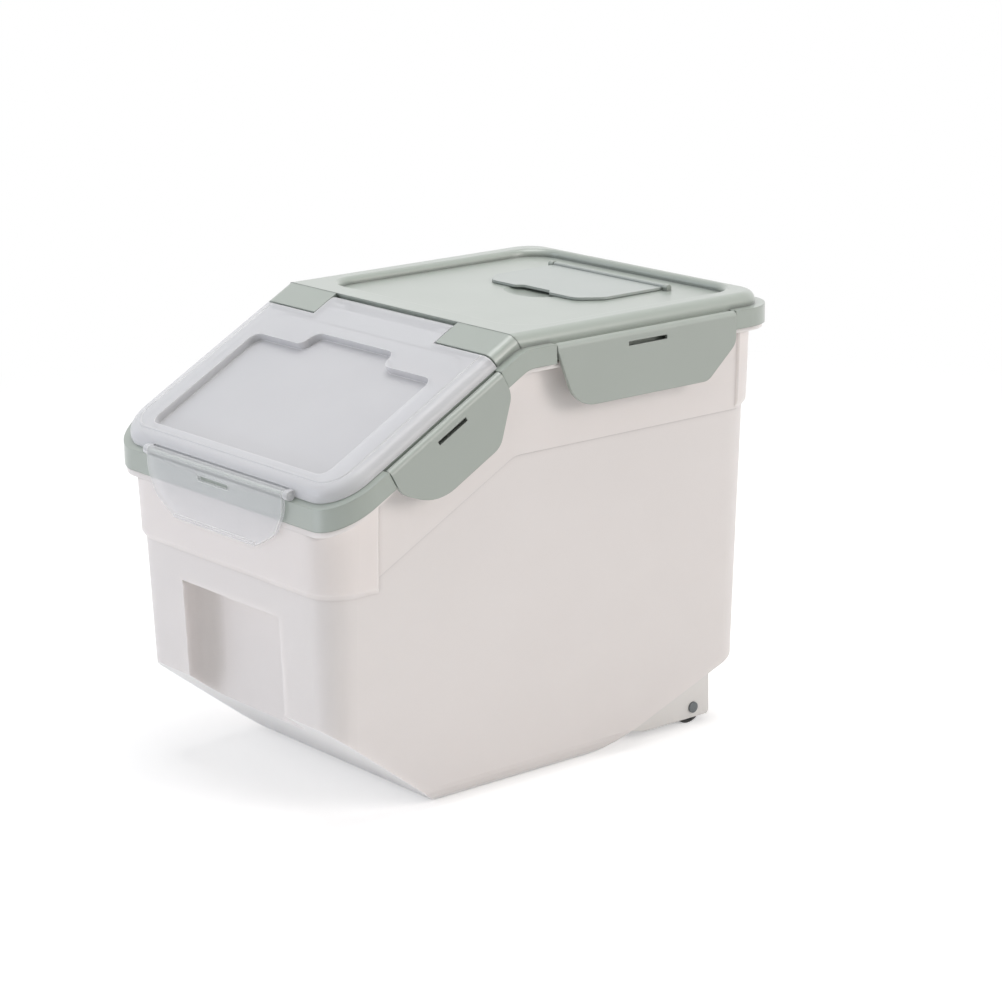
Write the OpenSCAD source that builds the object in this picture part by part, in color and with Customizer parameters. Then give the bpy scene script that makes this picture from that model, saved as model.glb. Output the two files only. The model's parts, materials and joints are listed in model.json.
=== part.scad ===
// Rice bin with a lift-off lid, a clear flip lid on its slope and two small wheels.
// Origin: centre of the footprint, on the floor. Front is -Y, up is +Z.

/* [Overall] */
// Width of the lid skirt, left to right
lid_w = 228; // [200:1:270]
// Length of the lid skirt, front to back
lid_d = 325; // [290:1:390]
// Height of the lid top above the floor
total_h = 268; // [245:1:310]
// Height of the tub rim at its front
front_h = 176; // [160:1:185]

/* [Tub] */
// Wall thickness of the tub
wall = 2.4; // [1.6:0.2:3.2]
// Outward lean of the tub walls, millimetres per millimetre of height
lean = 0.037; // [0.02:0.001:0.045]
// Radius of the upright corners of the tub
tub_r = 14; // [10:1:20]
// How far the corner bands stand out from the wall
band_step = 2.4; // [1.2:0.2:2.8]
// Half width of the grip recess in the front
grip_half = 48; // [36:1:56]
// Depth of the grip recess
grip_depth = 18; // [12:1:20]

/* [Lid] */
// Height of the lid skirt
skirt_h = 11.3; // [10:0.1:13]
// Wall thickness of the lid parts
lid_t = 2.2; // [1.8:0.1:2.6]
// Corner radius of the lid skirt
lid_r = 25; // [20:1:30]
// Depth of the tray in the lid top
tray_depth = 4.6; // [3.5:0.1:5.5]
// Half width of the desiccant hatch
hatch_half = 50; // [40:1:60]

/* [Clips] */
// Height of the side clips
clip_h = 35; // [28:0.5:40]
// Half width of the front latch
latch_half = 66.5; // [50:0.5:72]

/* [Wheels] */
// Radius of the wheels
wheel_r = 11; // [9:0.5:12]

/* [Hidden] */
$fn = 48;

gap = 0.3;                          // air between pieces that move apart
fit = 0.08;                         // radial clearance of a pin in its bore
big = 800;                          // longer than anything in the model

// Side view: the rim runs level at the back and slopes down to the front.
half_w = lid_w / 2;
half_d = lid_d / 2;
tier_h = 7.7;                       // the raised top above the skirt
rim_z = total_h - tier_h - skirt_h; // height of the rim at the back
knee_y = -half_d + 132;             // where the level rim meets the slope
knee_r = 16;                        // bend radius of the rim at the knee
slope = atan2(rim_z - front_h, knee_y + half_d);
knee_cy = knee_y + knee_r * tan(slope / 2);
slope_len = (knee_y + half_d) / cos(slope);

// Tub
base_half_w = half_w - 22.5;        // half width of the tub at the floor
base_front = -half_d + 9.5;
base_back = half_d - 13.5;
base_mid = (base_front + base_back) / 2;
base_half_d = (base_back - base_front) / 2;
chin_z = 60;                        // where the front wall turns into the slope under it
chin_y = base_front - lean * chin_z;
chin_rise = 0.78;
chamfer_rise = 0.378;
chamfer_y = 33;                     // where the floor turns up into the rear chamfer
floor_r = 16;                       // rounding of the long bottom edges
chamfer_r = 60;                     // bend of the floor into the rear chamfer
side_reach = 200;                   // how far the side outline runs past the tub
panel_drop = 51.3;                  // side panel line below the rim
panel_step = 0.8;
band_ramp = 2.6;                    // width of the slanted edge of a band
band_bevel = 3.6;                   // height of the slanted underside of a band
front_band_z = 136;
front_band_y = -half_d + 35.5;
back_band_y = half_d - 22.5;
back_band_z = rim_z - panel_drop;
flange_t = 3;
flange_half_w = half_w - 4.1;
flange_half_d = half_d - 0.6;
grip_top = 118;
grip_r = 12;
grip_y = -half_d + 7.5 + grip_depth;

// Wheels
wheel_x = base_half_w - 16.5;
wheel_y = half_d - 41.2;
wheel_w = 8;
axle_r = 2.2;
bracket_wall = 2;
bracket_end = 1.5;                  // wall behind the wheel
bracket_half = wheel_w / 2 + 1 + bracket_wall;
bracket_y0 = wheel_y - 52;
bracket_y1 = wheel_y + wheel_r + 0.5 + bracket_end;
bracket_z = 4.5;                    // lower edge of the bracket
chamfer_angle = atan(chamfer_rise);

// Lid top
tier_half_w = half_w - 6;
tier_back = half_d - 6;
tier_r = 19;
tier_edge = 6;                      // roll of the raised top's outer edge
tray_roll = 3.6;                    // roll of the edge round the tray
tier_o = skirt_h + tier_h;          // offset of the lid top above the rim
rib_half_w = base_half_w + lean * front_h - wall - 2;
rib_half_d = half_d - 8.5;
rib_w = 1.8;
rib_apart = 11.5;                   // from the inner rib to the outer one
seal_h = 2.5;                       // height of the seal on the tub rim
tray_half_w = half_w - 22;
tray_y0 = knee_y + 12.5;
tray_y1 = half_d - 15.5;
tray_r = 20;
tray_z = total_h - tray_depth;

// Clips hang on pins in pockets of the skirt.
pin_r = 1.3;
barrel_r = 3;
clip_axis_x = half_w - 2.4;
clip_axis_o = skirt_h - barrel_r + 0.1;
clip_t = 2.2;
clip_y0 = knee_y + 20;              // rear clips, on the level rim
clip_y1 = half_d - 38;
clip_s0 = 45.5;                     // front clips, along the slope
clip_short = 17.341;                // from the end of a front clip to the knee
clip_s1 = slope_len - clip_short;
pocket_depth = 5.8;
hook_in = 2;
slot_drop = 5.4;                    // lower edge of a clip's slot below its axis
slot_h = 2.4;

// Flip lid
flip_half_w = half_w - 5.5;
flip_front = -half_d + 2.2;
flip_o0 = skirt_h + gap;
flip_edge = 7;                      // roll of its front and side edges
flip_r = 24;                        // radius of its front corners
flip_s0 = (half_d + flip_front + flip_edge + (tier_o - flip_edge) * sin(slope)) / cos(slope) - flip_edge;
bead_in = 9;                        // raised bead, in from the edge of the flip lid
bead_r = 1;
hinge_o = tier_o - 5.1;
hinge_barrel_r = 5;
hinge_pin_r = 2;
tier_back_off = 0.3448;             // the raised top's front face behind the bend's middle line
tier_s = slope_len + tier_o * tan(slope / 2) - tier_back_off;
hinge_s = tier_s - hinge_barrel_r - 0.4;
flip_end = hinge_s - 14.4;          // rear end of its outer parts along the slope
neck_half = half_w - 57;            // half width of the hinge section
block_half = tier_half_w - 0.4;
block_s0 = flip_end + 1.2;
window_half = half_w - 29;
window_s0 = flip_s0 + 13.85;
window_s1 = flip_end - 25.6;
window_s2 = window_s1 + 12;
window_drop = 5;
mouth_half = half_w - 24;           // half width of the fill opening under the flip lid
mouth_r = 14;
seal_out = 6;                       // outer edge of the seal ring, out from the opening
seal_w = 1.6;
seal_o1 = tier_o - lid_t - 2;       // top of the flip lid seal
mouth_s0 = flip_s0 + lid_t + 1.2 + seal_out;
mouth_s1 = flip_end - lid_t - 0.3 - seal_out;

// Front latch
latch_out = 0.2;                    // its axis in front of the skirt
latch_air = 0.16;                   // air between its barrel and the slope of the skirt
latch_y = -half_d - latch_out;
latch_z = front_h + (skirt_h + barrel_r + latch_air - latch_out * sin(slope)) / cos(slope);
latch_t = 2.2;
latch_drop = 34;
latch_lip = 1.2;                    // rounded grip edge at its foot

// Hatch and desiccant box
hatch_y0 = half_d - 97.5;
hatch_y1 = half_d - 36;
hatch_t = 1.6;
hatch_barrel_r = 1.5;
hatch_axis_z = tray_z + hatch_barrel_r + 0.4;
hatch_pin_r = 0.8;
box_half = hatch_half - 7;
box_y0 = hatch_y0 + 18.5;
box_y1 = hatch_y1 - 8;
box_h = 26;
box_z = tray_z - 2.2;               // top edge of the desiccant box
box_rim = 1.6;                      // thickness of the rim it hangs by
box_play = 0.8;                     // room round that rim
box_wall = 1.6;

// ---------- shared shapes ----------

// Points of an arc about c, from angle a0 to a1 in n steps
function arc(c, r, a0, a1, n) =
    [for (i = [0:n]) c + r * [cos(a0 + (a1 - a0) * i / n), sin(a0 + (a1 - a0) * i / n)]];

// The corner at p between the points a and b, rounded to radius r
function corner(p, a, b, r) =
    let (
        ua = (a - p) / norm(a - p),
        ub = (b - p) / norm(b - p),
        half = acos(ua * ub) / 2,
        c = p + (ua + ub) / norm(ua + ub) * r / sin(half),
        v0 = ua * r / tan(half) + p - c,
        v1 = ub * r / tan(half) + p - c,
        a0 = atan2(v0.y, v0.x),
        turn = atan2(v1.y, v1.x) - a0
    )
    arc(c, r, a0, a0 + (turn > 180 ? turn - 360 : turn < -180 ? turn + 360 : turn), 8);

// A closed outline of [x, y, radius] corners
function rounded(list) =
    let (n = len(list), p = [for (q = list) [q.x, q.y]])
    [for (i = [0:n - 1]) each
        list[i][2] == 0 ? [p[i]] : corner(p[i], p[(i + n - 1) % n], p[(i + 1) % n], list[i][2])];

// Height of the sloping part of the rim, raised by offset o, at a given y
function slope_z(y, o) = front_h + o / cos(slope) + (y + half_d) * tan(slope);

// The rim line raised by offset o, from front to back, as [y, z] points
function rim_line(o) = concat(
    [[-half_d - 40, slope_z(-half_d - 40, o)]],
    arc([knee_cy, rim_z - knee_r], knee_r + o, 90 + slope, 90, 6),
    [[half_d + 40, rim_z + o]]
);

function reversed(list) = [for (i = [len(list) - 1:-1:0]) list[i]];

// A [y, z] outline drawn out sideways over the width w
module side_prism(w) {
    rotate([90, 0, 90]) linear_extrude(w, center = true) children();
}

// Everything between two offsets of the rim line
module rim_layer(o0, o1) {
    side_prism(big) polygon(concat(rim_line(o0), reversed(rim_line(o1))));
}

// Everything below the rim line raised by offset o
module below_rim(o) {
    side_prism(big) polygon(concat(rim_line(o), [[half_d + 40, -90], [-half_d - 40, -90]]));
}

module rounded_rect(hx, y0, y1, r) {
    translate([-hx + r, y0]) square([2 * (hx - r), y1 - y0]);
    translate([-hx, y0 + r]) square([2 * hx, y1 - y0 - 2 * r]);
    for (x = [-hx + r, hx - r], y = [y0 + r, y1 - r]) translate([x, y]) circle(r);
}

module rounded_block(hx, y0, y1, r, z0, z1) {
    translate([0, 0, z0]) linear_extrude(z1 - z0) rounded_rect(hx, y0, y1, r);
}

// A tube of radius t laid along a rounded rectangle
module tube_ring(hx, y0, y1, r, t) {
    for (x = [-hx, hx])
        translate([x, y0 + r, 0]) rotate([-90, 0, 0]) cylinder(r = t, h = y1 - y0 - 2 * r);
    for (y = [y0, y1])
        translate([0, y, 0]) x_rod(t, -hx + r, hx - r);
    for (q = [[1, y1 - r, 0], [-1, y1 - r, 90], [-1, y0 + r, 180], [1, y0 + r, 270]])
        translate([q[0] * (hx - r), q[1], 0]) rotate([0, 0, q[2]])
            rotate_extrude(angle = 90, $fn = 64) translate([r, 0]) circle(t);
}

// A block whose upper edge is rolled to radius e all round
module rolled_block(hx, y0, y1, r, e, z0, z1) {
    rounded_block(hx, y0, y1, r, z0, z1 - e);
    rounded_block(hx - e, y0 + e, y1 - e, r - e, z0, z1);
    translate([0, 0, z1 - e]) tube_ring(hx - e, y0 + e, y1 - e, r - e, e);
}

// The frame of the slope: x across, y up along the slope, z out of it
module on_slope() {
    translate([0, -half_d, front_h]) rotate([slope, 0, 0]) children();
}

module mirrored(side) {
    scale([side, 1, 1]) children();
}

module x_rod(r, x0, x1) {
    translate([x0, 0, 0]) rotate([0, 90, 0]) cylinder(r = r, h = x1 - x0);
}

// ---------- tub ----------

// A block on the centre of the footprint whose sides lean out by spread over the height h:
// two wedges crossed, with a cone in each corner
module leaning_block(hx, hy, r, spread, h) {
    translate([0, base_mid, 0]) {
        rotate([90, 0, 0]) linear_extrude(2 * (hy - r), center = true)
            polygon([[-hx, 0], [hx, 0], [hx + spread, h], [-hx - spread, h]]);
        side_prism(2 * (hx - r))
            polygon([[-hy, 0], [hy, 0], [hy + spread, h], [-hy - spread, h]]);
        for (x = [-hx + r, hx - r], y = [-hy + r, hy - r])
            translate([x, y, 0]) cylinder(r1 = r, r2 = r + spread, h = h);
    }
}

// The leaning walls, grown outward by g
module tub_walls(g, r) {
    leaning_block(base_half_w + g, base_half_d + g, r, lean * total_h, total_h);
}

// Side view of the bottom: chin slope, floor and rear chamfer, pulled in by t
module tub_side(t) {
    chin = atan(chin_rise);
    chin_foot = chin_y + chin_z / chin_rise;
    front_r = floor_r - t;
    front_c = chin_foot + floor_r * tan(chin / 2);
    back_c = chamfer_y - chamfer_r * tan(chamfer_angle / 2);
    polygon(concat(
        [[front_c - side_reach, t / cos(chin) + (chin_foot - front_c + side_reach) * chin_rise]],
        arc([front_c, floor_r], front_r, 270 - chin, 270, 6),
        arc([back_c, chamfer_r], chamfer_r - t, 270, 270 + chamfer_angle, 4),
        [[half_d + side_reach, t / cos(chamfer_angle) + (half_d + side_reach - chamfer_y) * chamfer_rise],
         [half_d + side_reach, total_h + side_reach],
         [front_c - side_reach, total_h + side_reach]]
    ));
}

// Front view of the bottom: long edges rounded, pulled in by t
module tub_front(t) {
    c = base_half_w + lean * floor_r + 0.2 - floor_r;
    polygon(concat(
        arc([c, floor_r], floor_r - t, 270, 360, 8),
        [[big / 2, floor_r], [big / 2, total_h + 1], [-big / 2, total_h + 1], [-big / 2, floor_r]],
        arc([-c, floor_r], floor_r - t, 180, 270, 8)
    ));
}

module tub_form(g, r, t) {
    intersection() {
        tub_walls(g, r);
        side_prism(big) tub_side(t);
        rotate([90, 0, 0]) linear_extrude(big, center = true) tub_front(t);
    }
}

// A corner band that starts at height z, with a slanted underside
module band_form(z) {
    w = lean * z;
    translate([0, 0, z])
        leaning_block(base_half_w + w, base_half_d + w, tub_r + w, band_step + lean * band_bevel, band_bevel);
    intersection() {
        tub_walls(band_step, tub_r + band_step);
        translate([-big / 2, -big / 2, z + band_bevel]) cube(big);
    }
}

// Everything in front of y, with slanted edges that follow the leaning side walls
module front_of(y) {
    for (side = [-1, 1]) mirrored(side)
        translate([base_half_w + band_step, 0, -10]) rotate([0, atan(lean), 0])
            linear_extrude(total_h + 20) polygon([
                [10, -big / 2], [10, y], [0, y], [-band_step, y + band_ramp],
                [-half_w - 20, y + band_ramp], [-half_w - 20, -big / 2]
            ]);
}

// The stepped bands round the corners and the raised panel between them
module tub_bands() {
    intersection() {
        band_form(front_band_z);
        front_of(front_band_y);
    }
    intersection() {
        band_form(back_band_z);
        mirror([0, 1, 0]) front_of(-back_band_y);
    }
    intersection() {
        tub_walls(panel_step, tub_r);
        difference() {
            below_rim(0);
            translate([0, 0, -panel_drop]) below_rim(0);
        }
        translate([-big / 2, front_band_y - 1, 0]) cube([big, back_band_y - front_band_y + 2, big]);
    }
}

module grip(t) {
    rounded_block(grip_half + t, -half_d - 60, grip_y + t, grip_r + t, -60, grip_top + t);
}

module bracket_rails() {
    for (side = [-1, 1], e = [-1, 1])
        translate([side * wheel_x + e * (bracket_half + 1.9) - 0.8, chamfer_y, 0])
            rotate([chamfer_angle, 0, 0])
                translate([0, bracket_y0 - chamfer_y + 14, -2.6]) cube([1.6, 36, 4]);
}

module tub() {
    color("#ECE9E6") {
        difference() {
            intersection() {
                union() {
                    tub_form(0, tub_r, 0);
                    tub_bands();
                    intersection() {
                        rounded_block(flange_half_w, -flange_half_d, flange_half_d, lid_r - 4, 100, total_h);
                        rim_layer(-flange_t, 0);
                    }
                }
                below_rim(0);
            }
            difference() {
                tub_form(-wall, tub_r - wall, wall);
                grip(wall);
            }
            grip(0);
        }
        bracket_rails();
    }
}

// ---------- wheels ----------

module wheel_bracket(side) {
    color("#C9CFC6") translate([side * wheel_x, 0, 0])
        difference() {
            intersection() {
                side_prism(2 * bracket_half) polygon([
                    [bracket_y0, (bracket_y0 - chamfer_y) * chamfer_rise - 0.05],
                    [bracket_y0, (bracket_y0 - chamfer_y) * chamfer_rise - 6],
                    [bracket_y0 + 12, bracket_z],
                    [bracket_y1 - 1.5, bracket_z],
                    [bracket_y1, bracket_z + 1.5],
                    [bracket_y1, (bracket_y1 - chamfer_y) * chamfer_rise - 0.05]
                ]);
                translate([-bracket_half, 0, 0]) cube([2 * bracket_half, big, big]);
            }
            side_prism(2 * (bracket_half - bracket_wall)) polygon([
                [bracket_y0 + 3, -1],
                [bracket_y0 + 3, (bracket_y0 + 3 - chamfer_y) * chamfer_rise - 2.4],
                [bracket_y1 - bracket_end, (bracket_y1 - bracket_end - chamfer_y) * chamfer_rise - 2.4],
                [bracket_y1 - bracket_end, -1]
            ]);
            translate([0, wheel_y, wheel_r]) x_rod(axle_r, -big, big);
        }
}

module wheel(side) {
    color("#2A2A2C") translate([side * wheel_x, wheel_y, wheel_r])
        rotate([0, 90, 0])
            rotate_extrude($fn = 64) polygon([
                [axle_r + fit, -wheel_w / 2],
                [4.4, -wheel_w / 2],
                [5, -wheel_w / 2 + 1.2],
                [wheel_r - 3, -wheel_w / 2 + 1.2],
                [wheel_r - 2.4, -wheel_w / 2],
                [wheel_r - 1, -wheel_w / 2],
                [wheel_r, -wheel_w / 2 + 1],
                [wheel_r, wheel_w / 2 - 1],
                [wheel_r - 1, wheel_w / 2],
                [wheel_r - 2.4, wheel_w / 2],
                [wheel_r - 3, wheel_w / 2 - 1.2],
                [5, wheel_w / 2 - 1.2],
                [4.4, wheel_w / 2],
                [axle_r + fit, wheel_w / 2]
            ]);
}

module axle(side) {
    color("#55585A") translate([side * wheel_x, wheel_y, wheel_r]) mirrored(side) {
        x_rod(axle_r, -bracket_half - 0.5, bracket_half + 0.6);
        x_rod(axle_r + 1.2, bracket_half, bracket_half + 1);
    }
}

// ---------- main lid ----------

// The raised top with its rolled edge
module tier_solid() {
    rolled_block(tier_half_w, knee_y - 60, tier_back, tier_r, tier_edge, rim_z + gap, total_h);
}

// The tray in the raised top, with a rolled edge
module cut_tray() {
    difference() {
        children();
        tray_pocket(0, tray_z);
        difference() {
            tray_pocket(-tray_roll, total_h - tray_roll);
            translate([0, 0, total_h - tray_roll])
                tube_ring(tray_half_w + tray_roll, tray_y0 - tray_roll, tray_y1 + tray_roll,
                    tray_r + tray_roll, tray_roll);
        }
    }
}

// Everything behind the front face of the raised top
module behind_tier_face(s) {
    on_slope() translate([-big / 2, s, -big / 2]) cube([big, big, big]);
}

module skirt_form(inset, o0, o1) {
    intersection() {
        rounded_block(half_w - inset, -half_d + inset, half_d - inset, lid_r - inset, 90, total_h + 20);
        rim_layer(o0, o1);
    }
}

// Room for one clip in the skirt, grown by g on its closed sides
module rear_pocket(side, g) {
    mirrored(side)
        translate([half_w - pocket_depth - g, clip_y0 - 0.4 - g, rim_z - 20])
            cube([pocket_depth + g + 5, clip_y1 - clip_y0 + 0.8 + 2 * g, 20 + skirt_h + 1]);
}

module front_pocket(side, g) {
    mirrored(side) on_slope()
        translate([half_w - pocket_depth - g, clip_s0 - 0.4 - g, -20])
            cube([pocket_depth + g + 5, clip_s1 - clip_s0 + 0.8 + 2 * g, 20 + skirt_h + 1]);
}

module pockets(g) {
    for (side = [-1, 1]) {
        rear_pocket(side, g);
        front_pocket(side, g);
    }
}

// A rod on a clip axis: rear clips lie level, front clips follow the slope
module rear_axis_rod(side, r, extra) {
    translate([side * clip_axis_x, clip_y0 - extra, rim_z + clip_axis_o])
        rotate([-90, 0, 0]) cylinder(r = r, h = clip_y1 - clip_y0 + 2 * extra);
}

module front_axis_rod(side, r, extra) {
    on_slope() translate([side * clip_axis_x, clip_s0 - extra, clip_axis_o])
        rotate([-90, 0, 0]) cylinder(r = r, h = clip_s1 - clip_s0 + 2 * extra);
}

module hinge_blocks() {
    on_slope() for (side = [-1, 1]) mirrored(side)
        difference() {
            translate([0, tier_s + 0.1, 0]) rotate([90, 0, 0]) linear_extrude(tier_s + 0.1 - block_s0)
                polygon(rounded([
                    [neck_half + 0.6, skirt_h - 3, 0],
                    [block_half, skirt_h - 3, 0],
                    [block_half, tier_o, tier_edge],
                    [neck_half + 0.6, tier_o, 0]
                ]));
            translate([neck_half, hinge_s, hinge_o]) x_rod(hinge_pin_r, -5, 15.5);
        }
}

// Trough under the hinge section of the flip lid
module hinge_trough(r, w) {
    on_slope() translate([0, hinge_s, hinge_o]) x_rod(r, -w, w);
}

module mouth(g, o0, o1) {
    on_slope() rounded_block(mouth_half + g, mouth_s0 - g, mouth_s1 + g, mouth_r + g, o0, o1);
}

// A wall t thick that stands inside the rectangle hx by hy
module ring_wall(hx, hy, r, t) {
    difference() {
        rounded_block(hx, -hy, hy, r, 90, big / 2);
        rounded_block(hx - t, -hy + t, hy - t, r - t, 80, big);
    }
}

// Two ribs under the skirt: the inner one drops into the tub, the outer one keeps the seal
module locating_ribs() {
    intersection() {
        ring_wall(rib_half_w, rib_half_d, 14, rib_w);
        rim_layer(-6, skirt_h - 1);
    }
    intersection() {
        ring_wall(rib_half_w + rib_apart, half_d - 1.5, 22, rib_w);
        rim_layer(0.6, skirt_h - 1);
    }
}

module tray_pocket(inset, z0) {
    rounded_block(tray_half_w - inset, tray_y0 + inset, tray_y1 - inset, tray_r - inset, z0, total_h + 5);
}

module finger_notch() {
    translate([0, hatch_y0 + 1, tray_z]) scale([1, 0.62, 0.07]) sphere(r = 21, $fn = 48);
}

module hatch_lugs() {
    for (side = [-1, 1])
        mirrored(side) translate([hatch_half + 0.5, hatch_y1, hatch_axis_z])
            difference() {
                union() {
                    x_rod(1.9, 0, 4);
                    translate([0, -1.9, tray_z - hatch_axis_z - 0.5])
                        cube([4, 3.8, hatch_axis_z - tray_z + 0.5]);
                }
                x_rod(hatch_pin_r, -1, 3);
            }
}

module main_lid() {
    color("#B9C2B4")
    difference() {
        union() {
            difference() {
                union() {
                    skirt_form(0, gap, skirt_h);
                    cut_tray() intersection() {
                        tier_solid();
                        behind_tier_face(tier_s);
                    }
                }
                difference() {
                    skirt_form(lid_t + 0.2, -1, skirt_h - lid_t);
                    pockets(2);
                }
                difference() {
                    intersection() {
                        rolled_block(tier_half_w - lid_t, knee_y - 30, tier_back - lid_t, tier_r - lid_t,
                            tier_edge - lid_t, rim_z + 5, total_h - lid_t);
                        behind_tier_face(tier_s + lid_t);
                    }
                    tray_pocket(-lid_t, tray_z - lid_t);
                    pockets(2);
                }
            }
            hinge_blocks();
            intersection() {
                hinge_trough(7.4, neck_half + 4);
                on_slope() translate([-big / 2, 0, 0]) cube([big, big, skirt_h - 0.5]);
            }
            difference() {
                mouth(2, skirt_h - lid_t - 3, skirt_h);
                mouth(0, 0, big / 2);
            }
            locating_ribs();
            hatch_lugs();
            rounded_block(box_half + 3, box_y0 - 3, box_y1 + 3, 6, box_z - box_rim - 2, tray_z - 1);
        }
        pockets(0);
        for (side = [-1, 1]) {
            rear_axis_rod(side, pin_r, 4);
            front_axis_rod(side, pin_r, 4);
        }
        hinge_trough(hinge_barrel_r + 0.4, neck_half + 0.6);
        mouth(0, -20, big / 2);
        finger_notch();
        rounded_block(box_half + box_play, box_y0 - box_play, box_y1 + box_play, 4,
            box_z - box_rim, tray_z + 1);
        rounded_block(box_half - 0.7, box_y0 + 0.7, box_y1 - 0.7, 3, box_z - 9, tray_z + 1);
    }
}

module main_lid_seal() {
    color("#F2F2EE")
    intersection() {
        difference() {
            rounded_block(rib_half_w + rib_apart - rib_w - 0.1, -half_d + 3.4, half_d - 3.4, 20, 90, big / 2);
            rounded_block(rib_half_w, -rib_half_d, rib_half_d, 14, 80, big);
        }
        rim_layer(gap, gap + seal_h);
    }
}

// ---------- side clips ----------

// Outline of a clip hanging from its axis: u runs along the axis, v hangs down.
// Each end is straight down for its drop, then slants in to the lower edge.
module clip_outline(length, h, lead, tail) {
    polygon(rounded([
        [0, 2, 0],
        [0, -lead[1], lead[1]],
        [lead[0], -h, lead[2]],
        [length - tail[0], -h, tail[2]],
        [length, -tail[1], tail[2]],
        [length, 2, 0]
    ]));
}

// A clip lying in its own frame: x out of the skirt, y along the axis, z up.
// lead and tail are [slant, drop, radius] of its two ends.
module clip_form(length, h, lead, tail, slot_u, slot_len) {
    difference() {
        union() {
            intersection() {
                translate([barrel_r - clip_t, 0, 0]) rotate([90, 0, 90]) linear_extrude(clip_t)
                    clip_outline(length, h, lead, tail);
                translate([0, 0, -big]) cube([big, big, big]);
            }
            rotate([-90, 0, 0]) cylinder(r = barrel_r, h = length);
            translate([barrel_r - clip_t - hook_in, lead[0] + 14, -clip_axis_o - flange_t - 3.2])
                cube([hook_in + 0.5, length - lead[0] - tail[0] - 28, 2]);
        }
        translate([0, -1, 0]) rotate([-90, 0, 0]) cylinder(r = pin_r + fit, h = length + 2);
        translate([-big / 2, slot_u, -slot_drop]) cube([big, slot_len, slot_h]);
    }
}

module clip_rear(side) {
    color("#B4BEB0") mirrored(side)
        translate([clip_axis_x, clip_y0, rim_z + clip_axis_o])
            clip_form(clip_y1 - clip_y0, clip_h, [13, 1, 20], [22, 16, 9], 52, 29);
}

module clip_front(side) {
    color("#B4BEB0") mirrored(side) on_slope()
        translate([clip_axis_x, clip_s0, clip_axis_o])
            clip_form(clip_s1 - clip_s0, clip_h - 2.2, [17, 13, 30], [21, 12, 12], 34, 22);
}

module clip_pin_rear(side) {
    color("#C8CCC8") rear_axis_rod(side, pin_r, 3.8);
}

module clip_pin_front(side) {
    color("#C8CCC8") front_axis_rod(side, pin_r, 3.8);
}

// ---------- desiccant hatch ----------

// Outline of the hatch: its front corners are cut back and a finger notch sits between them
module hatch_outline() {
    front = hatch_y0 + 1;
    polygon(rounded([
        [-hatch_half, hatch_y1, 0], [-hatch_half, front + 14, 8], [-hatch_half + 11, front, 10],
        [-16, front, 3], [-12, front + 4, 4], [12, front + 4, 4], [16, front, 3],
        [hatch_half - 11, front, 10], [hatch_half, front + 14, 8], [hatch_half, hatch_y1, 0]
    ]));
}

module hatch_door() {
    color("#C6CEC2") {
        difference() {
            union() {
                translate([0, 0, tray_z + gap]) linear_extrude(hatch_t) hatch_outline();
                translate([0, hatch_y1, hatch_axis_z]) x_rod(hatch_barrel_r, -hatch_half, hatch_half);
            }
            translate([0, hatch_y1, hatch_axis_z]) x_rod(hatch_pin_r + 0.06, -big, big);
        }
    }
}

module hatch_hinge_pin(side) {
    color("#C8CCC8") mirrored(side)
        translate([hatch_half, hatch_y1, hatch_axis_z]) x_rod(hatch_pin_r, -7, 3.4);
}

// A block within the outline of the desiccant box, pulled in by inset
module box_block(inset, r, z0, z1) {
    rounded_block(box_half - inset, box_y0 + inset, box_y1 - inset, r, z0, z1);
}

module desiccant_box() {
    color("#DDE1DA") difference() {
        union() {
            rounded_block(box_half + 0.5, box_y0 - 0.5, box_y1 + 0.5, 4, box_z - box_rim, box_z);
            box_block(1, 3, box_z - box_h, box_z);
        }
        box_block(1 + box_wall, 2, box_z - box_h - 1, box_z + 1);
    }
}

module desiccant_grille() {
    z0 = box_z - box_h;
    pitch = 6;
    rows = floor((box_y1 - box_y0 - 12) / pitch);
    color("#CBD2C8") difference() {
        union() {
            box_block(1, 3, z0 - box_wall, z0);
            box_block(1 + box_wall, 2, z0 - 1, z0 + 3);
        }
        box_block(4, 1, z0, z0 + 5);
        for (i = [0:rows - 1], side = [-1, 1])
            translate([side * box_half / 2 - box_half / 2 + 5, box_y0 + 7 + i * pitch, z0 - 5])
                cube([box_half - 10, 2.4, 20]);
    }
}

// ---------- flip lid ----------

// Outer form of the flip lid between two offsets, pulled in by g
module flip_form(g, o0, o1) {
    on_slope() intersection() {
        rolled_block(flip_half_w - g, flip_s0 + g, 2 * flip_end, flip_r - g, flip_edge - g, o0, o1);
        union() {
            translate([-big / 2, -60, o0]) cube([big, flip_end - g + 60, 120]);
            translate([-neck_half + g, 0, o0]) cube([2 * (neck_half - g), hinge_s, 120]);
        }
    }
}

// Raised bead along the front and side edges
module flip_bead() {
    on_slope() intersection() {
        translate([0, 0, tier_o - bead_r / 2])
            tube_ring(flip_half_w - bead_in, flip_s0 + bead_in, 2 * flip_end, flip_r - bead_in, bead_r);
        translate([-big / 2, -60, 0]) cube([big, flip_end + 59, 60]);
    }
}

// Outline of the window on the slope: its upper edge drops below each hinge block
module window_outline(g) {
    w = window_half + g;
    m = 38 + g;
    r = 6;
    difference() {
        union() {
            rounded_rect(w, window_s0 - g, window_s1 + g, 7 + g);
            rounded_rect(m, window_s0 - g, window_s2 + g, 7 + g);
            for (side = [-1, 1])
                translate([side > 0 ? m : -m - r, window_s1 + g - 0.1]) square([r, r]);
        }
        for (side = [-1, 1]) translate([side * (m + r), window_s1 + g + r]) circle(r);
    }
}

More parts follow.
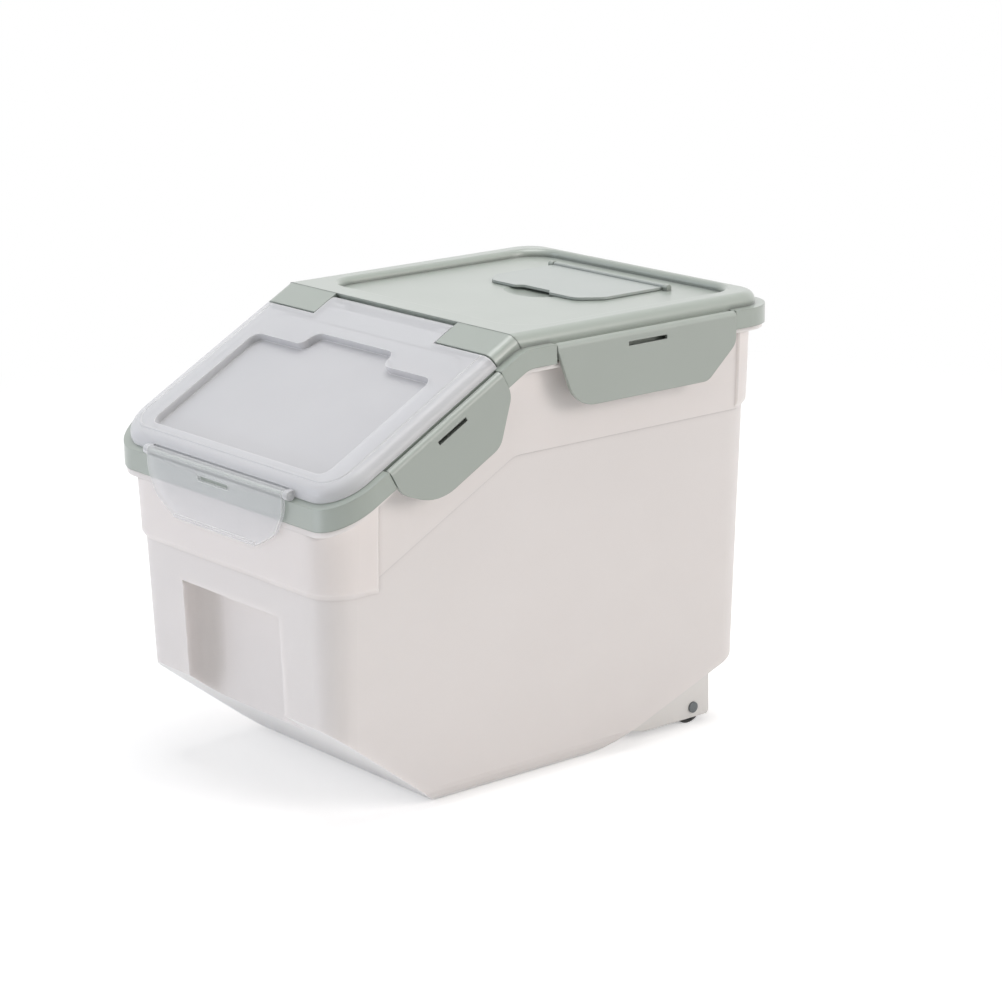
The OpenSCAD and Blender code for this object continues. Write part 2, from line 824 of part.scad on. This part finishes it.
module flip_lid() {
    color("#DCE2E8", 0.6)
    difference() {
        union() {
            difference() {
                flip_form(0, flip_o0, tier_o);
                difference() {
                    flip_form(lid_t, -9, tier_o - lid_t);
                    on_slope() linear_extrude(60) window_outline(lid_t);
                }
                on_slope() translate([0, 0, tier_o - window_drop]) linear_extrude(60) window_outline(0);
                on_slope() translate([0, 0, -1]) linear_extrude(1 + tier_o - window_drop - lid_t)
                    window_outline(lid_t + 1);
            }
            on_slope() translate([0, hinge_s, hinge_o]) x_rod(hinge_barrel_r, -neck_half, neck_half);
            flip_bead();
            seal_rib();
            for (side = [-1, 1]) mirrored(side) latch_lug();
        }
        for (side = [-1, 1])
            on_slope() translate([side * (neck_half - 5.5), hinge_s, hinge_o])
                x_rod(hinge_pin_r + fit, -6.5, 6.5);
        latch_notch();
        translate([0, latch_y, latch_z]) x_rod(pin_r, -latch_half - 4, latch_half + 4);
    }
}

// A ring round the fill opening, between two offsets from the slope
module seal_ring(o0, o1) {
    inner = seal_out - seal_w;
    r = mouth_r - 1 + seal_out;
    on_slope() difference() {
        rounded_block(mouth_half + seal_out, mouth_s0 - seal_out, mouth_s1 + seal_out, r, o0, o1);
        rounded_block(mouth_half + inner, mouth_s0 - inner, mouth_s1 + inner, r - seal_w, 0, 60);
    }
}

// Rib that carries the seal ring
module seal_rib() {
    seal_ring(seal_o1, tier_o - lid_t + 0.1);
}

// Ear at each end of the latch pin
module latch_lug() {
    translate([0, latch_y, latch_z]) {
        x_rod(barrel_r - 0.2, latch_half + 0.4, latch_half + 4.4);
        translate([latch_half + 0.4, 0, 0]) cube([4, 4, barrel_r - 0.2]);
    }
}

module latch_notch() {
    translate([-latch_half - 0.4, -half_d - 20, latch_z - barrel_r - 20])
        cube([2 * latch_half + 0.8, 20 + barrel_r + 0.4, 20 + 2 * barrel_r + 0.4]);
}

module flip_lid_seal() {
    color("#F2F2EE") seal_ring(skirt_h + gap, seal_o1);
}

module flip_hinge_pin(side) {
    color("#C8CCC8") on_slope() mirrored(side)
        translate([neck_half, hinge_s, hinge_o]) x_rod(hinge_pin_r, -10, 15);
}

// ---------- front latch ----------

// Outline of the latch: its lower corners sweep in to a narrower grip edge
module latch_outline() {
    w = latch_half;
    polygon(rounded([
        [-w, 0, 0], [-w, -10, 12], [-w + 8, -latch_drop + 10, 14], [-w + 27, -latch_drop, 10],
        [w - 27, -latch_drop, 10], [w - 8, -latch_drop + 10, 14], [w, -10, 12], [w, 0, 0]
    ]));
}

module front_latch() {
    color("#DCE2E8", 0.6) translate([0, latch_y, latch_z]) difference() {
        union() {
            x_rod(barrel_r, -latch_half, latch_half);
            translate([0, -barrel_r + latch_t, 0]) rotate([90, 0, 0]) linear_extrude(latch_t) latch_outline();
            translate([0, 0.2 - barrel_r, latch_lip - latch_drop])
                x_rod(latch_lip, -latch_half + 27, latch_half - 27);
        }
        x_rod(pin_r + fit, -big, big);
        translate([-15, -10, -7.4]) cube([30, 20, 3]);
    }
}

module front_latch_pin() {
    color("#C8CCC8") translate([0, latch_y, latch_z]) x_rod(pin_r, -latch_half - 3.6, latch_half + 3.6);
}

tub();
wheel_bracket(-1);  // wheel_bracket_left
wheel_bracket(1);  // wheel_bracket_right
wheel(-1);  // wheel_left
wheel(1);  // wheel_right
axle(-1);  // axle_left
axle(1);  // axle_right
main_lid();
main_lid_seal();
clip_front(-1);  // clip_front_left
clip_front(1);  // clip_front_right
clip_rear(-1);  // clip_rear_left
clip_rear(1);  // clip_rear_right
clip_pin_front(-1);  // clip_pin_front_left
clip_pin_front(1);  // clip_pin_front_right
clip_pin_rear(-1);  // clip_pin_rear_left
clip_pin_rear(1);  // clip_pin_rear_right
hatch_door();
hatch_hinge_pin(-1);  // hatch_hinge_pin_left
hatch_hinge_pin(1);  // hatch_hinge_pin_right
desiccant_box();
desiccant_grille();
flip_lid();
flip_lid_seal();
flip_hinge_pin(-1);  // flip_hinge_pin_left
flip_hinge_pin(1);  // flip_hinge_pin_right
front_latch();
front_latch_pin();
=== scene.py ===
# %% [markdown]
# # A rice bin with a flip lid
#
# The model comes in finished shapes: a milky tub, a sage green lid with four clips, and a clear
# flip lid with its latch. This lesson gives those shapes their plastics, a plain white studio and
# a camera. The shapes are loaded as a frame that nothing here may move, so every step below is
# about finish and light.

import json
import math

import bpy
from mathutils import Matrix, Vector

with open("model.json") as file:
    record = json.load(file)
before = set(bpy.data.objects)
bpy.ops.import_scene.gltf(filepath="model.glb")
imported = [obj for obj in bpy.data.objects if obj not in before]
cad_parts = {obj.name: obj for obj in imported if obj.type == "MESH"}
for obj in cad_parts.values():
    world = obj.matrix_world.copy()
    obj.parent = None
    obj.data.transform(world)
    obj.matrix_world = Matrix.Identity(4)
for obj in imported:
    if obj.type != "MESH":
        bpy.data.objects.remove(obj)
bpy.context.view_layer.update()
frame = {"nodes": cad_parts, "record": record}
parts = frame["nodes"]

# %% [markdown]
# ## Millimetres, colours and nodes
#
# Blender works in metres, while plastic parts are drawn in millimetres, so `mm` turns one into
# the other. Colours are picked as hex values on a screen, which are not linear in light, so one
# function turns them into the linear values that a shader needs. One more function adds a shader
# node with its settings and its links, which keeps each material readable as a list of nodes.


# %% Helpers
def mm(length):
    return length / 1000


def linear(hex_colour):
    """An sRGB hex colour such as "#D8D4D0" as linear red, green, blue and alpha."""
    channels = [int(hex_colour[i : i + 2], 16) / 255 for i in (1, 3, 5)]
    return (*[c / 12.92 if c <= 0.04045 else ((c + 0.055) / 1.055) ** 2.4 for c in channels], 1.0)


def add_node(tree, kind, feeds=None, **settings):
    """Adds a node. feeds gives each input a value, or the output of another node to link."""
    made = tree.nodes.new("ShaderNode" + kind)
    for name, value in settings.items():
        setattr(made, name, value)
    for name, value in (feeds or {}).items():
        if isinstance(value, bpy.types.NodeSocket):
            tree.links.new(value, made.inputs[name])
        else:
            made.inputs[name].default_value = value
    return made


def new_material(name):
    """An empty material and its node tree with an output."""
    material = bpy.data.materials.new(name)
    material.use_nodes = True
    material.node_tree.nodes.clear()
    return material, material.node_tree, add_node(material.node_tree, "OutputMaterial")


print("one millimetre is", mm(1), "m, and mid grey is", round(linear("#808080")[0], 3))

# %% [markdown]
# ## The camera
#
# The photograph was taken from the front right corner, a little above the lid, with a long lens.
# A long lens keeps upright edges nearly parallel. The camera stands on a line out from a point in
# the middle of the bin, turned by an azimuth and an elevation, with a slight roll. Two small side
# steps place the bin in the picture, so no lens shift is needed.

# %% Camera
IMAGE_SIDE = 1002
FOCAL_PIXELS = 2970.11
SENSOR = 36.0
AZIMUTH, ELEVATION, ROLL = (math.radians(a) for a in (50.982, 15.091, 0.784))
DISTANCE, STEP_RIGHT, STEP_UP = mm(1761.0), mm(31.05), mm(10.76)
LOOK_AT = Vector((0, 0, mm(135)))

back = Vector(
    (
        math.sin(AZIMUTH) * math.cos(ELEVATION),
        -math.cos(AZIMUTH) * math.cos(ELEVATION),
        math.sin(ELEVATION),
    )
)
level_right = Vector((math.cos(AZIMUTH), math.sin(AZIMUTH), 0))
level_up = back.cross(level_right)
right = math.cos(ROLL) * level_right - math.sin(ROLL) * level_up
up = math.sin(ROLL) * level_right + math.cos(ROLL) * level_up

lens = bpy.data.cameras.new("photo_lens")
lens.sensor_width = SENSOR
lens.lens = SENSOR * FOCAL_PIXELS / IMAGE_SIDE
camera = bpy.data.objects.new("photo_camera", lens)
bpy.context.scene.collection.objects.link(camera)
place = LOOK_AT + DISTANCE * back + STEP_RIGHT * right + STEP_UP * up
camera.matrix_world = Matrix(
    (
        (right.x, up.x, back.x, place.x),
        (right.y, up.y, back.y, place.y),
        (right.z, up.z, back.z, place.z),
        (0, 0, 0, 1),
    )
)
bpy.context.scene.camera = camera
print("lens", round(lens.lens, 1), "mm, camera at", [round(c, 3) for c in place])

# %% [markdown]
# ## A white studio
#
# The picture has a plain white background. A world that is white only to rays that come straight
# from the camera, or by way of gloss or clear plastic, gives that background without throwing
# extra light on the bin. All other rays see a softer world, which fills the shadows.

# %% World
FILL_LEVEL = 0.50


def seen_directly(tree):
    """1 for a ray from the camera, by way of gloss or through clear plastic, else 0."""
    path = add_node(tree, "LightPath")
    gloss = add_node(
        tree, "Math", {0: path.outputs["Is Camera Ray"], 1: path.outputs["Is Glossy Ray"]},
        operation="MAXIMUM",
    )
    clear = add_node(
        tree, "Math", {0: gloss.outputs[0], 1: path.outputs["Is Transmission Ray"]},
        operation="MAXIMUM",
    )
    return clear.outputs[0]


world = bpy.data.worlds.new("white_studio")
bpy.context.scene.world = world
world.use_nodes = True
sky = world.node_tree
sky.nodes.clear()
fill = add_node(sky, "Background", {"Color": linear("#FFFFFF"), "Strength": FILL_LEVEL})
white = add_node(sky, "Background", {"Color": linear("#FFFFFF"), "Strength": 1.0})
both = add_node(
    sky, "MixShader", {0: seen_directly(sky), 1: fill.outputs[0], 2: white.outputs[0]}
)
add_node(sky, "OutputWorld", {"Surface": both.outputs[0]})
print("world fills shadows at", FILL_LEVEL)

# %% [markdown]
# ## The floor
#
# The floor is built the same way: a pale matte surface that catches the soft shadow of the bin,
# plus a little glow of its own that only those direct rays see, so that it renders white where it
# is lit. Further out, where the lamps no longer reach, it gives way to that same plain white. Its
# grey drifts by a hair over some 30 cm, as painted board does.

# %% Floor finish
FLOOR_GREY = (0.84, 0.86)
FLOOR_GLOW = 0.36
FLOOR_FADE = (0.45, 1.1)

paper, tree, output = new_material("pale_studio_floor")
mottle = add_node(tree, "TexNoise", {"Scale": 3.0, "Detail": 2.0})
tone = add_node(
    tree, "MapRange",
    {"Value": mottle.outputs["Fac"], "To Min": FLOOR_GREY[0], "To Max": FLOOR_GREY[1]},
)
matte = add_node(tree, "BsdfDiffuse", {"Color": tone.outputs[0], "Roughness": 1.0})
direct = seen_directly(tree)
strength = add_node(tree, "Math", {0: direct, 1: FLOOR_GLOW}, operation="MULTIPLY")
glow = add_node(tree, "Emission", {"Color": linear("#FFFFFF"), "Strength": strength.outputs[0]})
lit = add_node(tree, "AddShader", {0: matte.outputs[0], 1: glow.outputs[0]})
reach = add_node(
    tree, "VectorMath", {0: add_node(tree, "TexCoord").outputs["Object"]}, operation="LENGTH"
)
far = add_node(
    tree, "MapRange",
    {"Value": reach.outputs["Value"], "From Min": FLOOR_FADE[0], "From Max": FLOOR_FADE[1]},
    interpolation_type="SMOOTHSTEP",
)
fade = add_node(tree, "Math", {0: far.outputs[0], 1: direct}, operation="MULTIPLY")
plain_white = add_node(tree, "Emission", {"Color": linear("#FFFFFF"), "Strength": 1.0})
whole = add_node(
    tree, "MixShader", {0: fade.outputs[0], 1: lit.outputs[0], 2: plain_white.outputs[0]}
)
tree.links.new(whole.outputs[0], output.inputs["Surface"])
print("floor glow", FLOOR_GLOW, "and plain white from", FLOOR_FADE[1], "m outwards")

# %% Floor
FLOOR_HALF = 6.0
floor_mesh = bpy.data.meshes.new("floor")
corners = [(x * FLOOR_HALF, y * FLOOR_HALF, 0) for x, y in ((-1, -1), (1, -1), (1, 1), (-1, 1))]
floor_mesh.from_pydata(corners, [], [(0, 1, 2, 3)])
floor_mesh.materials.append(paper)
floor = bpy.data.objects.new("floor", floor_mesh)
bpy.context.scene.collection.objects.link(floor)
print("floor of", 2 * FLOOR_HALF, "m")

# %% [markdown]
# ## Soft lamps
#
# Four wide lamps shape the bin without hard shadows: a cool one before its left front, a warm one
# behind its right side, one above, and a low one that reaches the undercut chin. None shines
# straight at the upright corner that faces the camera, so that corner turns a shade darker than
# the two walls beside it, as it does in the photograph.

# %% Lamps
LAMPS = {
    "front_left": ((-1.5, -1.9, 1.1), 1.3, 6.6, "#DCE7FF"),
    "right_back": ((2.1, 0.9, 1.0), 1.2, 18.8, "#FFF8F5"),
    "overhead": ((0.0, 0.1, 2.3), 1.5, 25.0, "#FFFFFF"),
    "low_front": ((-0.45, -1.1, 0.05), 0.35, 3.2, "#F1F4FF"),
}
for name, (position, size, watts, tint) in LAMPS.items():
    lamp = bpy.data.lights.new(name, "AREA")
    lamp.shape, lamp.size, lamp.energy = "DISK", size, watts
    lamp.color = linear(tint)[:3]
    holder = bpy.data.objects.new(name, lamp)
    holder.location = position
    holder.rotation_euler = (LOOK_AT - Vector(position)).to_track_quat("-Z", "Y").to_euler()
    bpy.context.scene.collection.objects.link(holder)
print("lamps:", ", ".join(LAMPS))

# %% [markdown]
# ## Moulded polypropylene
#
# The tub, lid, clips and small fittings are injection moulded polypropylene, a soft waxy plastic.
# To the eye it is satin: highlights are wide and dim, the tone drifts a little where the plastic
# flowed and cooled at different rates, and a fine texture from the steel mould breaks up the
# gloss. A noise with patches of some 60 mm carries the drift, and one of 1.5 mm carries the mould
# texture, which is coarser than the real grain of a few tenths, so that it shows at all.
#
# Two things happen at corners. An outer edge is never sharp, because a mould can't hold it, so a
# Bevel node rounds it: by half a millimetre, or by more on the softer lid. An inner corner, such as
# the foot
# of a step or a seam, gets painted shade: a darker colour where less light would reach it. The
# Ambient Occlusion node tells how open a spot is, and so how much of that painted shade it gets.

# %% What all the plastics share
DRIFT_SIZE, GRAIN_SIZE, EDGE_RADIUS = mm(60), mm(1.5), mm(0.5)
GLOSS_SWING = 0.05
# Painted shade: creases take a darker colour, this share of the deep tone.
CREASE_DEPTH, PAINTED_CREASE_SHADE = mm(4), 0.52
CREASE_OPENNESS = (0.5, 0.97)
PLASTIC_IOR = 1.49


def plastic_surface(
    tree, pale, deep, roughness, grain, edge=EDGE_RADIUS, painted_crease_tone=PAINTED_CREASE_SHADE
):
    """Colour with drift and painted crease shade, drifting gloss, a normal with grain and edges."""
    place = add_node(tree, "TexCoord").outputs["Object"]
    drift = add_node(
        tree, "TexNoise", {"Vector": place, "Scale": 1 / DRIFT_SIZE, "Detail": 3.0}
    ).outputs["Fac"]
    plain_colour = add_node(
        tree, "Mix", {"Factor": drift, 6: linear(deep), 7: linear(pale)}, data_type="RGBA"
    )
    # Painted shade: where the AO node finds a spot closed in, the colour turns darker.
    openness = add_node(
        tree, "AmbientOcclusion", {"Distance": CREASE_DEPTH}, samples=8, only_local=True
    ).outputs["AO"]
    free_of_painted_shade = add_node(
        tree, "MapRange",
        {"Value": openness, "From Min": CREASE_OPENNESS[0], "From Max": CREASE_OPENNESS[1]},
    )
    painted_crease_colour = (*[c * painted_crease_tone for c in linear(deep)[:3]], 1.0)
    colour = add_node(
        tree, "Mix",
        {"Factor": free_of_painted_shade.outputs[0], 6: painted_crease_colour, 7: plain_colour.outputs[2]},
        data_type="RGBA",
    )
    gloss = add_node(
        tree, "MapRange",
        {"Value": drift, "To Min": roughness + GLOSS_SWING, "To Max": roughness - GLOSS_SWING},
    )
    texture = add_node(
        tree, "TexNoise", {"Vector": place, "Scale": 1 / GRAIN_SIZE, "Detail": 2.0}
    )
    soft_edge = add_node(tree, "Bevel", {"Radius": edge}, samples=4)
    bump = add_node(
        tree, "Bump",
        {
            "Strength": grain,
            "Distance": mm(0.1),
            "Height": texture.outputs["Fac"],
            "Normal": soft_edge.outputs[0],
        },
    )
    return colour.outputs[2], gloss.outputs[0], bump.outputs[0]


print("grain", GRAIN_SIZE * 1000, "mm, edges rounded by", EDGE_RADIUS * 1000, "mm")

# %% [markdown]
# ## Opaque plastics
#
# Pigment makes the lid, clips and hatch opaque, so little light spreads under their surface. Their
# flat faces look polished at a low angle, as the tray does in the photograph, and dull when seen
# straight on. A thin rough coat over the satin body gives both. The lid and its clips come from
# different moulds, which is why their greens differ by a hair, and the hatch is a paler one.


# %% Satin polypropylene
def satin_polypropylene(
    name, pale, deep, roughness=0.38, waxiness=0.15, sheen=0.0, edge=EDGE_RADIUS
):
    """Opaque moulded plastic. Waxiness is how much light spreads under the surface."""
    material, tree, output = new_material(name)
    colour, gloss, bump = plastic_surface(tree, pale, deep, roughness, 0.25, edge)
    surface = add_node(
        tree, "BsdfPrincipled",
        {
            "Base Color": colour,
            "Roughness": gloss,
            "Normal": bump,
            "IOR": PLASTIC_IOR,
            "Subsurface Weight": waxiness,
            "Subsurface Radius": (1.0, 1.0, 0.9),
            "Subsurface Scale": mm(1.5),
            "Coat Weight": sheen,
            "Coat Roughness": 0.3,
        },
    )
    tree.links.new(surface.outputs[0], output.inputs["Surface"])
    return material


SOFT_EDGE = mm(1.2)
finishes = {
    "lid_pp": satin_polypropylene(
        "sage_green_lid_polypropylene", "#A0A8A0", "#9AA29A", sheen=1.0, edge=SOFT_EDGE
    ),
    "clip_pp": satin_polypropylene(
        "sage_green_clip_polypropylene", "#A3AAA3", "#9DA49D", sheen=0.5, edge=mm(0.8)
    ),
    "hatch_pp": satin_polypropylene(
        "pale_sage_hatch_polypropylene", "#A5ACA8", "#9FA6A2", sheen=0.6, edge=mm(0.7)
    ),
    "box_pp": satin_polypropylene("pale_box_polypropylene", "#C9CFC7", "#C1C7BF"),
    "bracket_pp": satin_polypropylene("grey_green_bracket_polypropylene", "#E3E1DE", "#DCDAD7"),
}
print("opaque plastics:", ", ".join(finishes))

# %% [markdown]
# ## Milky polypropylene
#
# The tub has no pigment, so light goes into its walls, scatters and comes out again, inside as
# well as outside. That is why it looks milky, and why the inside of the opened bin is bright.
# Subsurface scattering shows this. Its scatter distance of 6 mm is more than the wall, so that
# daylight gets through. The tone is a warm light grey. The undercut chin stands over the bright
# floor and passes its light. Faces that lean down as far as the chin get this as painted light:
# a paler colour.

# %% Milky tub
SCATTER = mm(6)
CHIN_LEAN = (-0.62, -0.76)

milky, tree, output = new_material("milky_tub_polypropylene")
colour, gloss, bump = plastic_surface(tree, "#EAE4E1", "#E5DFDC", 0.40, 0.2)
facing_up = add_node(
    tree, "SeparateXYZ", {0: add_node(tree, "NewGeometry").outputs["Normal"]}
).outputs["Z"]
# Painted light: faces that lean down as the chin does get a paler colour for the floor's light.
painted_light_share = add_node(
    tree, "MapRange",
    {"Value": facing_up, "From Min": CHIN_LEAN[0], "From Max": CHIN_LEAN[1]},
)
colour = add_node(
    tree, "Mix", {"Factor": painted_light_share.outputs[0], 6: colour, 7: linear("#FFFCF9")},
    data_type="RGBA",
).outputs[2]
surface = add_node(
    tree, "BsdfPrincipled",
    {
        "Base Color": colour,
        "Roughness": gloss,
        "Normal": bump,
        "IOR": PLASTIC_IOR,
        "Subsurface Weight": 0.75,
        "Subsurface Radius": (1.0, 0.98, 0.96),
        "Subsurface Scale": SCATTER,
    },
)
tree.links.new(surface.outputs[0], output.inputs["Surface"])
finishes["milky_pp"] = milky
print("the tub's light spreads", SCATTER * 1000, "mm")

# %% [markdown]
# ## Frosted clear plastic
#
# The flip lid and its latch are a clear plastic that is slightly hazy and has a faint blue cast.
# The eye sees three things at once: what lies behind, a thin white haze over it, and a sharp
# gloss that grows at a grazing angle. Alpha gives the first two without the dark edges and the
# trapped light that a solid glass block would bring, and a Layer Weight node makes the haze denser
# where the wall is seen edge on, as real clear walls are.
#
# Clear plastic also carries light along inside itself and lets it out where it ends, so its rims,
# steps and corners show as fine bright lines. The Bevel node finds them: near an edge its smooth
# normal leans away from the flat one, and how far it leans is how bright and dense the line gets.
# The latch is thinner than the lid, so its haze is thinner too, and the green skirt shows through.

# %% Frosted clear plastic
EDGE_HAZE = 0.85
LIT_EDGE, LIT_EDGE_COVER = mm(1.4), 0.75
LIT_EDGE_LEAN = (0.98, 0.75)


def frosted_clear(name, pale, deep, haze):
    material, tree, output = new_material(name)
    # Clear plastic gets only a faint painted crease shade.
    colour, gloss, bump = plastic_surface(tree, pale, deep, 0.22, 0.12, painted_crease_tone=0.9)
    facing = add_node(tree, "LayerWeight", {"Blend": 0.25, "Normal": bump}).outputs["Facing"]
    alpha = add_node(
        tree, "MapRange", {"Value": facing, "To Min": haze, "To Max": EDGE_HAZE}
    )
    rounded = add_node(tree, "Bevel", {"Radius": LIT_EDGE}, samples=6).outputs[0]
    flat = add_node(tree, "NewGeometry").outputs["True Normal"]
    lean = add_node(tree, "VectorMath", {0: rounded, 1: flat}, operation="DOT_PRODUCT")
    rim = add_node(
        tree, "MapRange",
        {
            "Value": lean.outputs["Value"],
            "From Min": LIT_EDGE_LEAN[0],
            "From Max": LIT_EDGE_LEAN[1],
        },
    ).outputs[0]
    tone = add_node(
        tree, "Mix", {"Factor": rim, 6: colour, 7: linear("#FFFFFF")}, data_type="RGBA"
    )
    dense = add_node(tree, "Math", {0: rim, 1: LIT_EDGE_COVER}, operation="MULTIPLY")
    cover = add_node(
        tree, "Math", {0: alpha.outputs[0], 1: dense.outputs[0]}, operation="MAXIMUM"
    )
    surface = add_node(
        tree, "BsdfPrincipled",
        {
            "Base Color": tone.outputs[2],
            "Roughness": gloss,
            "Normal": bump,
            "IOR": PLASTIC_IOR,
            "Alpha": cover.outputs[0],
        },
    )
    tree.links.new(surface.outputs[0], output.inputs["Surface"])
    return material


print("haze edge on", EDGE_HAZE, "and lit rims", LIT_EDGE * 1000, "mm wide")

# %% Clear lid and latch
finishes["clear_plastic"] = frosted_clear(
    "frosted_clear_lid_plastic", "#EEEEF0", "#E7E7EA", haze=0.48
)
latch_finish = frosted_clear("frosted_clear_latch_plastic", "#F2F3F4", "#ECEDEF", haze=0.12)
print("clear plastics ready for the flip lid and its latch")

# %% [markdown]
# ## Small fittings
#
# The seal rings are soft silicone, which is matte and slightly waxy. The wheels are black nylon
# with a dull shine. The hinge pins are moulded acetal, a hard and slippery plastic with a little
# more gloss than the lid.

# %% Silicone, nylon and pins
finishes["silicone"] = satin_polypropylene(
    "white_silicone_rubber", "#EDEDE9", "#E4E4E0", roughness=0.62, waxiness=0.4
)
finishes["wheel_nylon"] = satin_polypropylene(
    "black_nylon_wheel", "#333231", "#262625", roughness=0.45, waxiness=0.0
)
finishes["pin_plastic"] = satin_polypropylene(
    "moulded_pin_acetal", "#B4BBB1", "#ABB2A8", roughness=0.3, waxiness=0.1
)
print("small fittings: seals, wheels and pins")

# %% [markdown]
# ## Drawn steel
#
# Each axle is a steel wire that was pulled through a die, which leaves fine lines along its length.
# A noise stretched along the pin gives those lines. They are drawn 0.4 mm apart, which is coarser
# than real ones, so that they show on a pin of a few millimetres.

# %% Steel axle
DRAW_LINE = mm(0.4)
steel, tree, output = new_material("drawn_steel_axle")
place = add_node(tree, "TexCoord").outputs["Object"]
stretched = add_node(tree, "Mapping", {"Vector": place, "Scale": (0.05, 1.0, 1.0)})
lines = add_node(
    tree, "TexNoise", {"Vector": stretched.outputs[0], "Scale": 1 / DRAW_LINE, "Detail": 2.0}
)
tint = add_node(
    tree, "Mix",
    {"Factor": lines.outputs["Fac"], 6: linear("#5E6163"), 7: linear("#7C8082")},
    data_type="RGBA",
)
shine = add_node(
    tree, "MapRange", {"Value": lines.outputs["Fac"], "To Min": 0.28, "To Max": 0.42}
)
ridges = add_node(
    tree, "Bump", {"Strength": 0.3, "Distance": mm(0.05), "Height": lines.outputs["Fac"]}
)
surface = add_node(
    tree, "BsdfPrincipled",
    {
        "Base Color": tint.outputs[2],
        "Metallic": 1.0,
        "Roughness": shine.outputs[0],
        "Normal": ridges.outputs[0],
    },
)
tree.links.new(surface.outputs[0], output.inputs["Surface"])
finishes["axle_steel"] = steel
print("finishes:", len(finishes))

# %% [markdown]
# ## Give each part its finish
#
# The record that comes with the frame says which material each part is made of. The loop puts
# the finish of that name into the part's material slots. Only the latch has one of its own.

# %% Paint the parts
own_finish = {"front_latch": latch_finish}
for row in frame["record"]["subparts"]:
    mesh = parts[row["node"]].data
    finish = own_finish.get(row["node"], finishes[row["material_slot"]])
    if not mesh.materials:
        mesh.materials.append(finish)
    for i in range(len(mesh.materials)):
        mesh.materials[i] = finish

# %% [markdown]
# ## View settings
#
# The Standard view shows colours as they are written.

# %% Finish
bpy.context.scene.view_settings.view_transform = "Standard"
